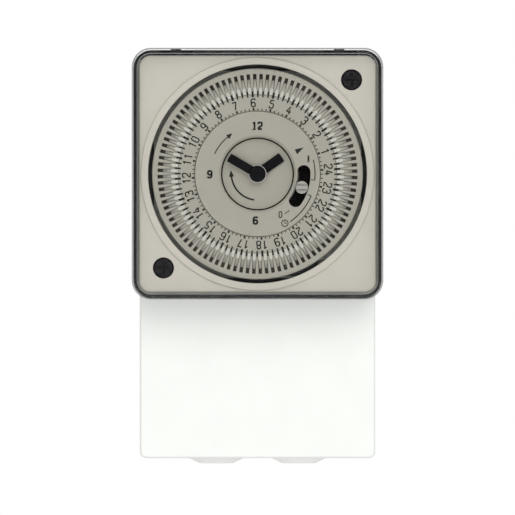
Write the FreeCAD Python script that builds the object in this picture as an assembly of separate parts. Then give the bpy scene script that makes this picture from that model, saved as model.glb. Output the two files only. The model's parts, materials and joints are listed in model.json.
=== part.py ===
import FreeCAD, Part
import math
import os

# Mechanical 24-hour segment time switch on a wall base with a terminal compartment.
# Everything is drawn lying on its back: X right, Y up the wall, Z out from the wall.
# save() then stands each part up, so the wall is the plane Y = 0 and the front looks along -Y.
# All sizes are in millimetres.

os.makedirs("parts", exist_ok=True)

# ---- driving dimensions -------------------------------------------------------------------
BASE_HALF_W = 34.0          # wall base and terminal cover
BASE_HALF_H = 58.0
CORNER_R = 2.0
BACK_T = 2.2                # back plate
WALL_T = 1.8
BAY_TOP = 34.0              # front edge of the walls round the timer module
AXIS_Y = 24.0               # height of the dial axis above the base's centre
TERMINAL_COVER_FRONT = 32.0
TERMINAL_COVER_TOP_Y = -10.2
CABLE_X = 12.0              # cable entries, left and right of the centre line
CABLE_Z = 16.0
CABLE_BORE_R = 3.5
ENTRY_R = 8.0               # hole in the wall for a cable bush
FIXING_X = 22.0             # wall screw holes
FIXING_LOW_Y = -47.0
FIXING_HIGH_Y = 29.5
FIXING_R = 2.25
FIXING_PAD_T = 1.0
BOSS_R = 3.0                # bosses that take the module screws
BOSS_BACK = 4.0
BOSS_TOP = 12.0
RIB_X = 30.4                # short ribs on the back plate, beside the terminals
RIB_HALF_T = 1.0
RIB_Y = (-52.0, -40.0)
RIB_TOP = 6.0
BAR_WINDOW_HALF_W = 2.2     # openings for the bus bars
BAR_WINDOW_TOP = 9.6

TERMINAL_PITCH = 11.0
TERMINAL_COUNT = 5
TERMINAL_Y = -27.5
WIRE_BORE_R = 2.1
WIRE_FUNNEL_R = 2.8
BLOCK_HALF_W = 28.0
BLOCK_Y = (-38.0, -16.0)
BLOCK_TOP = 19.0
BLOCK_FLOOR = 6.4
PILLAR_HALF_W = 3.8
PILLAR_HALF_L = 5.3
PILLAR_TOP = 15.4
TERMINAL_SCREW_R = 1.6
TERMINAL_HEAD_R = 2.8
TERMINAL_HEAD_Z = (15.5, 17.5)
WIRE_Z = 10.5
BUS_BAR_HALF_W = 1.6
BUS_BAR_Z = (7.6, 8.4)
BUS_BAR_END_Y = -4.6

BODY_HALF = 31.9            # module body behind the front panel
BODY_WALL = 1.6
BODY_BACK = 5.0             # leaves room for the heads of the wall screws
FLANGE_HALF = 35.8
FLANGE_R = 5.3
FLANGE_BACK = 34.0
FLANGE_FRONT = 36.0
BEZEL_HALF = 34.0
FOOT_HALF = 34.45           # foot of the bezel, left off along the hinge
BEZEL_R = 3.2
FOOT_FRONT = 36.9
BEZEL_FRONT = 45.0
BEZEL_WALL = 1.6
BEZEL_SKIN = 2.0
LIP_R = 33.5                # raised lip round the dial opening
LIP_H = 0.6
TUBE_TOP = 33.0             # screw tubes of the housing
DIAL_OPENING_R = 31.4
SCREW_OFFSET = 27.0         # the two module screws sit at (+, +) and (-, -)
SCREW_SHANK_R = 1.5
SCREW_HEAD_R = 2.92
SCREW_SEAT_R = 3.05
SCREW_SEAT_DEPTH = 2.6

COVER_HALF = 36.0           # clear front cover
COVER_R = 5.5
COVER_WALL = 1.4
COVER_BACK = 36.3
COVER_FRONT = 51.5
PANE_T = 1.5
HINGE_Y = 35.1              # hinge axis of the clear cover, measured from the dial axis
HINGE_Z = 37.2
HINGE_PIN_R = 0.6
KNUCKLE_R = 0.95
HINGE_X = 23.5
KNUCKLE_HALF_L = 1.5        # housing knuckle; the cover's knuckles stand either side of it
COVER_KNUCKLE_X = 1.8
COVER_KNUCKLE_L = 3.6
PIN_HALF_L = 4.8

DIAL_R = 30.3
DIAL_FACE = 44.5
DIAL_INNER_R = 18.15
DIAL_BORE_R = 15.0
HUB_R = 14.95
HUB_BORE_R = 11.9
HUB_TOP = 38.0
DIAL_GEAR_Z = (33.2, 35.4)
DIAL_WEB_Z = (36.2, 37.6)
DIAL_WALL_R = (19.8, 21.8)
CARRIER_IN = 21.6           # ring that carries the tappets
CARRIER_BACK = 40.4
SEGMENTS = 96
SEGMENTS_PER_HOUR = 4
SLOT_W = 1.0
SLOT_IN = 22.78
SLOT_OUT = 28.7
SLOT_FLOOR_FROM = 27.0      # the slots have a floor from here outward
SLOT_FLOOR = 42.4
TAPPET_W = 0.74
TAPPET_HEAD_W = 0.9
TAPPET_IN = 22.88            # inner and outer reach of a tappet pushed in
TAPPET_OUT = 27.2
TAPPET_TOP = 45.1

PLATE_R = 18.0              # fixed centre plate
PLATE_BACK = 43.4
DISH_R = 10.5
DISH_FLOOR = 42.8
DISH_WALL = 1.3
BEVEL_W = 0.6
GROOVE_W = 0.42             # dark groove round the floor of the recess
GROOVE_DEPTH = 1.0
SWITCH_SLOT_R = 13.3        # curved slot of the override lever
SWITCH_SLOT_W = 3.85

# ---- setting at rest, degrees clockwise from the top ---------------------------------------
POINTER_ANGLE = 59.0
DIAL_TIME = 1.0 + 50.0 / 60.0
HOUR_HAND_ANGLE = 55.0
MINUTE_HAND_ANGLE = 300.0
OVERRIDE_ANGLE = 107.0
OVERRIDE_SLOT_FROM = 87.5
OVERRIDE_SLOT_TO = 124.9

# ---- gear train: teeth, module and the angle from each wheel to the one it meshes with -----
FINE = 0.5
ADDENDUM = 0.9
DEDENDUM = 1.2
GEAR_CENTRES = 12.0
MOTION_MODULE = 0.48
TRANSFER_MODULE = 0.6
DIAL_DRIVE_CENTRES = 22.5
MOTOR_PINION_TEETH = 12
MINUTE_WHEEL_TEETH = 36
CANNON_TEETH = 12
MOTION_WHEEL_TEETH = 36
MOTION_PINION_TEETH = 10
HOUR_WHEEL_TEETH = 40
TRANSFER_TEETH = 50
DIAL_DRIVE_TEETH = 25
DIAL_PINION_TEETH = 18
DIAL_GEAR_TEETH = 72
MOTOR_DIRECTION = 135.0     # seen from the dial axis, degrees anticlockwise from +X
MOTION_DIRECTION = 270.0
DIAL_DRIVE_DIRECTION = 205.0
PIVOT_R = 1.0
PIVOT_HOLE_R = 1.03
REAR_PLATE_Z = (18.0, 19.2)
FRONT_PLATE_Z = (28.8, 30.4)

# ---- switch --------------------------------------------------------------------------------
LEVER_PIVOT_R = 21.0
LEVER_PIVOT_DIRECTION = 90.0 - OVERRIDE_ANGLE
LEVER_Z = (31.0, 32.6)
SWITCH_BOX = (0.0, 17.0, -29.3, -20.3, 30.6, 35.2)
SWITCH_Y = -24.0
PLUNGER_Z = 32.4
PLUNGER_R = 0.9

TAG_XS = (4.0, 12.0)
TAG_HALF_W = 1.0
TAG_Y = (-27.4, -26.6)
CONTACT_Y = -22.6
WIRE_R = 0.6

# ---- synchronous motor, module screws and hands ----------------------------------------------
MOTOR_X = -11.0
MOTOR_Y = 4.0
MOTOR_R = 16.5
MOTOR_Z = (6.8, 17.8)
MOTOR_WALL = 0.8
COIL_R = (9.0, 15.0)
COIL_Z = (8.4, 13.4)
COIL_RIM_R = 15.5
COIL_RIM_T = 0.8
ROTOR_R = 6.5
ROTOR_SHAFT_R = 0.8
PLATE_R_REAR = 27.5
PILLAR_R = 1.9
TENON_R = 1.0
MINUTE_SHAFT_R = 1.2
MINUTE_SHAFT_TOP = 45.4
PIPE_R = 2.2
PIPE_NECK_R = 1.7
PIPE_RIM_R = 2.55
PIPE_BORE_R = 1.25
HOUR_HAND_Z = (43.0, 43.8)
MINUTE_HAND_Z = (44.2, 45.0)
HUB_CAP_R = 2.4
HUB_CAP_TOP = 46.2

UP = FreeCAD.Vector(0, 0, 1)


# ---- helpers -------------------------------------------------------------------------------
def point(x, y, z=0.0):
    return FreeCAD.Vector(x, y, z)


def polar(radius, degrees):
    """Point at a radius and an angle anticlockwise from +X."""
    angle = math.radians(degrees)
    return radius * math.cos(angle), radius * math.sin(angle)


def clock(degrees):
    """Angle anticlockwise from +X of a direction given clockwise from the top."""
    return 90.0 - degrees


def box(x0, x1, y0, y1, z0, z1):
    return Part.makeBox(x1 - x0, y1 - y0, z1 - z0, point(x0, y0, z0))


def disc(radius, z0, z1, x=0.0, y=0.0):
    return Part.makeCylinder(radius, z1 - z0, point(x, y, z0), UP)


def ring(inner, outer, z0, z1, x=0.0, y=0.0):
    return disc(outer, z0, z1, x, y).cut(disc(inner, z0, z1, x, y))


def rod(radius, start, end):
    direction = end.sub(start)
    return Part.makeCylinder(radius, direction.Length, start, direction)


def rounded_block(half_x, half_y, radius, z0, z1, y_mid=0.0):
    block = box(-half_x, half_x, y_mid - half_y, y_mid + half_y, z0, z1)
    upright = [e for e in block.Edges if abs(e.tangentAt(e.FirstParameter).z) > 0.5]
    return block.makeFillet(radius, upright)


def soften(shape, radius, wanted):
    """Round every edge that wanted(edge) picks."""
    return shape.makeFillet(radius, [e for e in shape.Edges if wanted(e)])


def at_height(edge, z):
    return all(abs(v.Z - z) < 1e-4 for v in edge.Vertexes)


def extruded(points, z0, z1):
    corners = [point(x, y, z0) for x, y in points]
    wire = Part.makePolygon(corners + corners[:1])
    return Part.Face(wire).extrude(point(0, 0, z1 - z0))


def sector(inner, outer, from_deg, to_deg, z0, z1):
    """Part of a ring between two angles anticlockwise from +X."""
    middle = (from_deg + to_deg) / 2
    a, b = point(*polar(inner, from_deg), z0), point(*polar(inner, to_deg), z0)
    c, d = point(*polar(outer, to_deg), z0), point(*polar(outer, from_deg), z0)
    inner_arc = Part.Arc(a, point(*polar(inner, middle), z0), b).toShape()
    outer_arc = Part.Arc(c, point(*polar(outer, middle), z0), d).toShape()
    wire = Part.Wire([inner_arc, Part.makeLine(b, c), outer_arc, Part.makeLine(d, a)])
    return Part.Face(wire).extrude(point(0, 0, z1 - z0))


def curved_slot(radius, width, from_deg, to_deg, z0, z1):
    """Slot with round ends along an arc about the axis, angles anticlockwise from +X."""
    body = sector(radius - width / 2, radius + width / 2, from_deg, to_deg, z0, z1)
    ends = [disc(width / 2, z0, z1, *polar(radius, a)) for a in (from_deg, to_deg)]
    return body.fuse(ends).removeSplitter()


def turned(shape, degrees):
    copy = shape.copy()
    copy.rotate(point(0, 0), UP, degrees)
    return copy


def moved(shape, x, y, z=0.0):
    copy = shape.copy()
    copy.translate(point(x, y, z))
    return copy


def joined(shapes):
    return shapes[0].fuse(shapes[1:]).removeSplitter()


def group(shapes):
    return Part.makeCompound(shapes)


def root_radius(teeth, module):
    return module * (teeth / 2 - DEDENDUM)


def gear(teeth, module, phase, z0, z1, x=0.0, y=0.0):
    """Toothed disc with one tooth centred on the phase angle."""
    root_fraction, tip_fraction = 0.56, 0.22
    root_r = root_radius(teeth, module)
    tip_r = module * (teeth / 2 + ADDENDUM)
    pitch = 360.0 / teeth
    outline = []
    for i in range(teeth):
        centre = phase + i * pitch
        outline.append(polar(root_r, centre - pitch * root_fraction / 2))
        outline.append(polar(tip_r, centre - pitch * tip_fraction / 2))
        outline.append(polar(tip_r, centre + pitch * tip_fraction / 2))
        outline.append(polar(root_r, centre + pitch * root_fraction / 2))
    return moved(extruded(outline, z0, z1), x, y)


def gap_phase(teeth, direction):
    """Phase that puts a gap, not a tooth, towards a direction."""
    return direction + 180.0 / teeth


def on_module(shape):
    """Move a part drawn round the dial axis up to its place on the base."""
    return moved(shape, 0, AXIS_Y)


def save(name, shape):
    upright = shape.copy()
    upright.rotate(point(0, 0), point(1, 0, 0), 90)
    upright.exportStep("parts/" + name + ".step")


def terminal_xs():
    first = -TERMINAL_PITCH * (TERMINAL_COUNT - 1) / 2
    return [first + i * TERMINAL_PITCH for i in range(TERMINAL_COUNT)]


def live_xs():
    """Terminals joined to the module; the last one only parks the earth wire."""
    return terminal_xs()[:-1]


# ---- wall base and terminal compartment ----------------------------------------------------
def wall_base():
    plate = rounded_block(BASE_HALF_W, BASE_HALF_H, CORNER_R, 0, BACK_T)
    bay_low = AXIS_Y - BASE_HALF_W
    bay_mid = (bay_low + BASE_HALF_H) / 2
    bay_half = (BASE_HALF_H - bay_low) / 2
    bay = rounded_block(BASE_HALF_W, bay_half, CORNER_R, BACK_T, BAY_TOP, bay_mid)
    inner_r = 1.0
    hollow = rounded_block(BASE_HALF_W - WALL_T, bay_half - WALL_T, inner_r, BACK_T, BAY_TOP, bay_mid)
    gap = 0.2
    bottom_half = BASE_HALF_W - WALL_T - gap
    bottom_top = TERMINAL_COVER_FRONT - WALL_T - 3 * gap
    bottom = box(-bottom_half, bottom_half, -BASE_HALF_H, -BASE_HALF_H + WALL_T, BACK_T, bottom_top)
    corners = [(s * SCREW_OFFSET, AXIS_Y + s * SCREW_OFFSET) for s in (-1, 1)]
    bosses = [disc(BOSS_R, BACK_T, BOSS_TOP, x, y) for x, y in corners]
    pad_top = BACK_T + FIXING_PAD_T
    pads = [disc(2 * FIXING_R, BACK_T, pad_top, s * FIXING_X, FIXING_LOW_Y) for s in (-1, 1)]
    ribs = [box(s * RIB_X - RIB_HALF_T, s * RIB_X + RIB_HALF_T, *RIB_Y, BACK_T, RIB_TOP) for s in (-1, 1)]
    base = joined([plate, bay.cut(hollow), bottom] + bosses + pads + ribs)
    for x, y in corners:
        base = base.cut(disc(SCREW_SHANK_R, BOSS_BACK, BOSS_TOP, x, y))
    for s in (-1, 1):
        base = base.cut(disc(FIXING_R, 0, pad_top, s * FIXING_X, FIXING_LOW_Y))
        base = base.cut(disc(FIXING_R, 0, BACK_T, s * FIXING_X, FIXING_HIGH_Y))
        entry = rod(ENTRY_R, point(s * CABLE_X, -BASE_HALF_H, CABLE_Z),
                    point(s * CABLE_X, -BASE_HALF_H + WALL_T, CABLE_Z))
        base = base.cut(entry)
    for x in live_xs():
        base = base.cut(box(x - BAR_WINDOW_HALF_W, x + BAR_WINDOW_HALF_W, bay_low, bay_low + WALL_T,
                            BLOCK_FLOOR, BAR_WINDOW_TOP))
    return base


def terminal_cover():
    mid = (TERMINAL_COVER_TOP_Y - BASE_HALF_H) / 2
    seam, rim_r = 0.1, 0.8
    shell = box(-BASE_HALF_W, BASE_HALF_W, -BASE_HALF_H, TERMINAL_COVER_TOP_Y, BACK_T + seam,
                TERMINAL_COVER_FRONT)

    def bottom_corner(edge):
        along_z = abs(edge.tangentAt(edge.FirstParameter).z) > 0.5
        return along_z and edge.CenterOfMass.y < mid

    shell = soften(shell, CORNER_R, bottom_corner)

    def front_rim(edge):
        below_top = edge.CenterOfMass.y < TERMINAL_COVER_TOP_Y - 0.1
        return at_height(edge, TERMINAL_COVER_FRONT) and below_top

    shell = soften(shell, rim_r, front_rim)
    inner_w = BASE_HALF_W - WALL_T
    inner_front = TERMINAL_COVER_FRONT - WALL_T
    shell = shell.cut(box(-inner_w, inner_w, -BASE_HALF_H - 1, TERMINAL_COVER_TOP_Y + 1, 0, inner_front))
    lip_t, tab_reach, stiffener_half_t, stiffener_depth = 0.4, 2.6, 0.6, 1.6
    lip = box(-inner_w, inner_w, -BASE_HALF_H, -BASE_HALF_H + WALL_T, inner_front - lip_t, inner_front)
    tab_x = inner_w - tab_reach
    tab_y, tab_z = (-50.0, -42.0), (6.4, 8.0)
    tabs = [box(-inner_w, -tab_x, *tab_y, *tab_z), box(tab_x, inner_w, *tab_y, *tab_z)]
    stiffeners = [box(x - stiffener_half_t, x + stiffener_half_t, -BASE_HALF_H + 6, TERMINAL_COVER_TOP_Y - 2,
                      inner_front - stiffener_depth, inner_front) for x in (-18.0, 0.0, 18.0)]
    return joined([shell, lip] + tabs + stiffeners)


def cable_grommet(x):
    """Soft tapered bush: flange inside the wall, dome outside it."""
    outside, inside = -BASE_HALF_H, -BASE_HALF_H + WALL_T
    dome_h, tip_r, root_r, flange_r, flange_t = 1.8, 4.95, 8.75, 9.2, 1.4
    dome = Part.makeCone(tip_r, root_r, dome_h, point(x, outside - dome_h, CABLE_Z), point(0, 1, 0))
    neck = rod(ENTRY_R, point(x, outside, CABLE_Z), point(x, inside, CABLE_Z))
    flange = rod(flange_r, point(x, inside, CABLE_Z), point(x, inside + flange_t, CABLE_Z))
    bore = rod(CABLE_BORE_R, point(x, outside - dome_h, CABLE_Z), point(x, inside + flange_t, CABLE_Z))
    return joined([dome, neck, flange]).cut(bore)


def terminal_block():
    block = box(-BLOCK_HALF_W, BLOCK_HALF_W, *BLOCK_Y, BACK_T, BLOCK_TOP)
    low_y, high_y = BLOCK_Y
    fit = 0.1
    half_w, half_l = PILLAR_HALF_W + fit, PILLAR_HALF_L + fit
    for x in terminal_xs():
        pocket = box(x - half_w, x + half_w, TERMINAL_Y - half_l, TERMINAL_Y + half_l, BLOCK_FLOOR, BLOCK_TOP)
        wire = rod(WIRE_FUNNEL_R, point(x, low_y, WIRE_Z), point(x, TERMINAL_Y, WIRE_Z))
        block = block.cut(pocket).cut(wire)
    bar_half = BUS_BAR_HALF_W + fit
    bar_back, bar_front = BUS_BAR_Z
    for x in live_xs():
        block = block.cut(box(x - bar_half, x + bar_half, TERMINAL_Y + half_l, high_y,
                              bar_back - fit, bar_front + fit))
    gap_half, gap_end = 0.8, -33.5
    gaps = [box(x - gap_half, x + gap_half, low_y, gap_end, BLOCK_FLOOR, BLOCK_TOP)
            for x in [live + TERMINAL_PITCH / 2 for live in live_xs()]]
    return block.cut(gaps)


def terminal_pillar(x):
    near, far = TERMINAL_Y - PILLAR_HALF_L, TERMINAL_Y + PILLAR_HALF_L
    block = box(x - PILLAR_HALF_W, x + PILLAR_HALF_W, near, far, BLOCK_FLOOR, PILLAR_TOP)
    bore = rod(WIRE_BORE_R, point(x, near, WIRE_Z), point(x, far, WIRE_Z))
    return block.cut(bore).cut(disc(TERMINAL_SCREW_R, WIRE_Z, PILLAR_TOP, x, TERMINAL_Y))


def terminal_screw(x):
    head_back, head_front = TERMINAL_HEAD_Z
    tip_z, slot_half, slot_depth = 12.7, 0.4, 1.0
    shank = disc(TERMINAL_SCREW_R, tip_z, head_back, x, TERMINAL_Y)
    head = disc(TERMINAL_HEAD_R, head_back, head_front, x, TERMINAL_Y)
    slot = box(x - TERMINAL_HEAD_R, x + TERMINAL_HEAD_R, TERMINAL_Y - slot_half, TERMINAL_Y + slot_half,
               head_front - slot_depth, head_front)
    return joined([shank, head]).cut(slot)


def bus_bar(x):
    """Flat brass bar from a terminal to its socket inside the module."""
    return box(x - BUS_BAR_HALF_W, x + BUS_BAR_HALF_W, TERMINAL_Y + PILLAR_HALF_L, BUS_BAR_END_Y, *BUS_BAR_Z)


# ---- timer module, drawn round the dial axis ------------------------------------------------
def module_screw_corners():
    return [(s * SCREW_OFFSET, s * SCREW_OFFSET) for s in (-1, 1)]


def module_housing():
    inner = BODY_HALF - BODY_WALL
    outer_r, inner_r = 3.0, 1.4
    body = rounded_block(BODY_HALF, BODY_HALF, outer_r, BODY_BACK, FLANGE_BACK)
    flange = rounded_block(FLANGE_HALF, FLANGE_HALF, FLANGE_R, FLANGE_BACK, FLANGE_FRONT)
    floor = BODY_BACK + BODY_WALL
    hollow = rounded_block(inner, inner, inner_r, floor, FLANGE_FRONT)
    shell = body.fuse(flange).cut(hollow)
    ledge_t, ledge_top = 1.4, FRONT_PLATE_Z[0]
    ledges = [box(-12, 12, inner - ledge_t, inner, floor, ledge_top),
              box(-inner, ledge_t - inner, 8, 18, floor, ledge_top),
              box(inner - ledge_t, inner, -8, 8, floor, ledge_top)]
    tube_r, socket_r, hole_r = 3.6, 3.2, 1.8
    socket_end = BOSS_TOP + 0.2
    tubes = [disc(tube_r, floor, TUBE_TOP, x, y) for x, y in module_screw_corners()]
    ears = []
    for s in (-1, 1):
        left, right = s * HINGE_X - KNUCKLE_HALF_L, s * HINGE_X + KNUCKLE_HALF_L
        knuckle = rod(KNUCKLE_R, point(left, HINGE_Y, HINGE_Z), point(right, HINGE_Y, HINGE_Z))
        foot = box(left, right, HINGE_Y - KNUCKLE_R, FLANGE_HALF, FLANGE_BACK, HINGE_Z)
        ears += [knuckle, foot]
    shell = joined([shell] + ledges + tubes + ears)
    for x, y in module_screw_corners():
        shell = shell.cut(disc(socket_r, BODY_BACK, socket_end, x, y))
        shell = shell.cut(disc(hole_r, socket_end, TUBE_TOP, x, y))
    for s in (-1, 1):
        shell = shell.cut(rod(HINGE_PIN_R, point(s * HINGE_X - 2, HINGE_Y, HINGE_Z),
                              point(s * HINGE_X + 2, HINGE_Y, HINGE_Z)))
    for x in live_xs():
        shell = shell.cut(box(x - BAR_WINDOW_HALF_W, x + BAR_WINDOW_HALF_W, -BODY_HALF, -inner, floor,
                              BAR_WINDOW_TOP))
    return shell


def front_bezel():
    edge_r, rim_r = 0.6, 33.0
    outer = rounded_block(BEZEL_HALF, BEZEL_HALF, BEZEL_R, FLANGE_FRONT, BEZEL_FRONT)
    outer = soften(outer, edge_r, lambda e: at_height(e, BEZEL_FRONT))
    lip = ring(DIAL_OPENING_R, LIP_R, BEZEL_FRONT - 1, BEZEL_FRONT + LIP_H)
    lip = soften(lip, LIP_H / 2, lambda e: at_height(e, BEZEL_FRONT + LIP_H))
    foot = rounded_block(FOOT_HALF, FOOT_HALF, BEZEL_R + FOOT_HALF - BEZEL_HALF, FLANGE_FRONT, FOOT_FRONT)
    foot = foot.cut(box(-FOOT_HALF, FOOT_HALF, BEZEL_HALF - 1, FOOT_HALF, FLANGE_FRONT, FOOT_FRONT))
    foot = foot.cut(disc(rim_r, FLANGE_FRONT, FOOT_FRONT))
    pocket_half = BEZEL_HALF - BEZEL_WALL
    pockets = rounded_block(pocket_half, pocket_half, BEZEL_WALL, FLANGE_FRONT, BEZEL_FRONT - BEZEL_SKIN)
    keep = [disc(rim_r, FLANGE_FRONT, BEZEL_FRONT)]
    post_r, hole_r = 4.2, 1.7
    keep += [disc(post_r, FLANGE_FRONT, BEZEL_FRONT, x, y) for x, y in module_screw_corners()]
    bezel = outer.cut(pockets.cut(keep)).fuse([lip, foot])
    bezel = bezel.cut(disc(DIAL_OPENING_R, FLANGE_FRONT, BEZEL_FRONT + 1)).removeSplitter()
    for x, y in module_screw_corners():
        bezel = bezel.cut(disc(SCREW_SEAT_R, BEZEL_FRONT - SCREW_SEAT_DEPTH, BEZEL_FRONT, x, y))
        bezel = bezel.cut(disc(hole_r, FLANGE_FRONT, BEZEL_FRONT, x, y))
    return bezel


def bezel_screw(x, y):
    tip_z, edge_r, arm, arm_half, cross_depth = 4.6, 0.5, 1.9, 0.35, 1.2
    head_back = BEZEL_FRONT - SCREW_SEAT_DEPTH
    head_front = BEZEL_FRONT - 0.6
    cross_z = (head_front - cross_depth, BEZEL_FRONT)
    shank = disc(SCREW_SHANK_R, tip_z, head_back, x, y)
    head = disc(SCREW_HEAD_R, head_back, head_front, x, y)
    head = soften(head, edge_r, lambda e: at_height(e, head_front))
    cross = [box(x - arm, x + arm, y - arm_half, y + arm_half, *cross_z),
             box(x - arm_half, x + arm_half, y - arm, y + arm, *cross_z)]
    return joined([shank, head]).cut(cross)


def clear_cover():
    front_r, back_r, pane_r = 0.8, 0.4, 0.9
    outer = rounded_block(COVER_HALF, COVER_HALF, COVER_R, COVER_BACK, COVER_FRONT)
    outer = soften(outer, front_r, lambda e: at_height(e, COVER_FRONT))
    outer = soften(outer, back_r, lambda e: at_height(e, COVER_BACK))
    inner = COVER_HALF - COVER_WALL
    pane_back = COVER_FRONT - PANE_T
    hollow = rounded_block(inner, inner, COVER_R - COVER_WALL, COVER_BACK, pane_back)
    hollow = soften(hollow, pane_r, lambda e: at_height(e, pane_back))
    cover = outer.cut(hollow)
    notch_top = HINGE_Z + 1.5
    knuckles = []
    for s in (-1, 1):
        notch = box(s * HINGE_X - COVER_KNUCKLE_X, s * HINGE_X + COVER_KNUCKLE_X, inner - 1,
                    COVER_HALF + 1, COVER_BACK, notch_top)
        cover = cover.cut(notch)
        for side in (-1, 1):
            start = s * HINGE_X + side * COVER_KNUCKLE_X
            knuckles.append(rod(KNUCKLE_R, point(start, HINGE_Y, HINGE_Z),
                                point(start + side * COVER_KNUCKLE_L, HINGE_Y, HINGE_Z)))
    catch_x, catch_half, catch_gap, catch_z = 24.7, 4.0, 0.25, (40.0, 41.2)
    catches = [box(s * catch_x - catch_half, s * catch_x + catch_half, -inner, -BEZEL_HALF - catch_gap,
                   *catch_z) for s in (-1, 1)]
    cover = joined([cover] + knuckles + catches)
    for s in (-1, 1):
        cover = cover.cut(rod(HINGE_PIN_R + 0.03, point(s * HINGE_X - 5.0, HINGE_Y, HINGE_Z),
                              point(s * HINGE_X + 5.0, HINGE_Y, HINGE_Z)))
    return cover


def cover_hinge_pin(side):
    return rod(HINGE_PIN_R, point(side * HINGE_X - PIN_HALF_L, HINGE_Y, HINGE_Z),
               point(side * HINGE_X + PIN_HALF_L, HINGE_Y, HINGE_Z))


# ---- programme dial and its captive tappets --------------------------------------------------
def hour_angle(hour):
    """Clockwise angle at rest of an hour mark on the dial."""
    return POINTER_ANGLE + 15.0 * (DIAL_TIME - hour)


def segment_angles():
    step = 360.0 / SEGMENTS
    return [hour_angle(0) - step * (i + 0.5) for i in range(SEGMENTS)]


def program_dial():
    gear_back, gear_front = DIAL_GEAR_Z
    web_back, web_front = DIAL_WEB_Z
    wall_in, wall_out = DIAL_WALL_R
    edge_r, longest_inner_edge = 0.4, 180.0
    face_t, overlap = 1.6, 0.2
    bearing = ring(DIAL_BORE_R, root_radius(DIAL_GEAR_TEETH, FINE), gear_back, web_front)
    teeth = gear(DIAL_GEAR_TEETH, FINE, DIAL_DRIVE_DIRECTION, gear_back, gear_front)
    teeth = teeth.cut(disc(DIAL_BORE_R, gear_back, gear_front))
    web = ring(DIAL_BORE_R, wall_out, web_back, web_front)
    wall = ring(wall_in, wall_out, web_front, DIAL_FACE)
    face = ring(DIAL_INNER_R, wall_out + overlap, DIAL_FACE - face_t, DIAL_FACE)
    carrier = ring(CARRIER_IN, DIAL_R, CARRIER_BACK, DIAL_FACE)
    carrier = soften(carrier, edge_r, lambda e: at_height(e, DIAL_FACE) and e.Length > longest_inner_edge)
    half = SLOT_W / 2
    through = box(SLOT_IN, SLOT_FLOOR_FROM, -half, half, CARRIER_BACK, DIAL_FACE)
    shallow = box(SLOT_IN, SLOT_OUT, -half, half, SLOT_FLOOR, DIAL_FACE)
    slot = joined([through, shallow])
    slots = [turned(slot, clock(a)) for a in segment_angles()]
    return joined([bearing, teeth, web, wall, face, carrier]).cut(slots)


def tappet():
    """One 15-minute tappet along +X: foot under the dial, web, sloping back and head above."""
    foot_out, web_out, head_out = 26.6, 24.9, 24.8
    foot_back, foot_front = 38.0, CARRIER_BACK - 0.2
    back_z = SLOT_FLOOR + 0.1
    tail_t, slope_gap, head_gap = 0.4, 0.1, 0.15
    side = [(TAPPET_IN, foot_back), (foot_out, foot_back), (foot_out, foot_front), (web_out, foot_front),
            (web_out, back_z), (TAPPET_OUT, back_z), (TAPPET_OUT, back_z + tail_t),
            (head_out, DIAL_FACE - slope_gap), (head_out, TAPPET_TOP), (TAPPET_IN, TAPPET_TOP)]
    corners = [point(r, -TAPPET_W / 2, z) for r, z in side]
    wire = Part.makePolygon(corners + corners[:1])
    blade = Part.Face(wire).extrude(point(0, TAPPET_W, 0))
    head = box(TAPPET_IN, head_out, -TAPPET_HEAD_W / 2, TAPPET_HEAD_W / 2, DIAL_FACE + head_gap, TAPPET_TOP)
    return joined([blade, head])


def tappet_bank(hour):
    """The four tappets of the hour that ends at a mark."""
    single = tappet()
    angles = segment_angles()[(hour - 1) * SEGMENTS_PER_HOUR:hour * SEGMENTS_PER_HOUR]
    return group([turned(single, clock(a)) for a in angles])


def dial_retaining_ring():
    inner, outer, thickness = 12.2, 17.4, 1.0
    head_r, head_h, head_circle = 0.9, 0.4, 13.4
    top = HUB_TOP + thickness
    plate = ring(inner, outer, HUB_TOP, top)
    heads = [disc(head_r, top, top + head_h, *polar(head_circle, a)) for a in (70, 160, 215)]
    return joined([plate] + heads)


# ---- fixed centre plate and override lever ----------------------------------------------------
def centre_plate():
    post_r, post_circle, post_back, arbor_hole_r = 1.1, 16.2, 39.0, 2.6
    bevel_h, edge_r, shortest_rim = 0.5, 0.25, 80.0
    plate = disc(PLATE_R, PLATE_BACK, BEZEL_FRONT)
    dish = disc(DISH_R + DISH_WALL, DISH_FLOOR - DISH_WALL, BEZEL_FRONT)
    posts = [disc(post_r, post_back, PLATE_BACK, *polar(post_circle, a)) for a in (100, 180, 250)]
    plate = joined([plate, dish] + posts)
    bevel = Part.makeCone(DISH_R, DISH_R + BEVEL_W, bevel_h, point(0, 0, BEZEL_FRONT - bevel_h), UP)
    groove = ring(DISH_R - GROOVE_W, DISH_R, DISH_FLOOR - GROOVE_DEPTH, BEZEL_FRONT)
    plate = plate.cut([disc(DISH_R, DISH_FLOOR, BEZEL_FRONT), disc(arbor_hole_r, 40.0, BEZEL_FRONT),
                       bevel, groove])
    slot = curved_slot(SWITCH_SLOT_R, SWITCH_SLOT_W, clock(OVERRIDE_SLOT_TO), clock(OVERRIDE_SLOT_FROM),
                       PLATE_BACK - 1, BEZEL_FRONT + 1)
    slot = slot.cut(disc(DISH_R + DISH_WALL - 0.4, PLATE_BACK - 1, BEZEL_FRONT + 1))
    plate = soften(plate, edge_r, lambda e: at_height(e, BEZEL_FRONT) and e.Length > shortest_rim)
    return plate.cut(slot)


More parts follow.
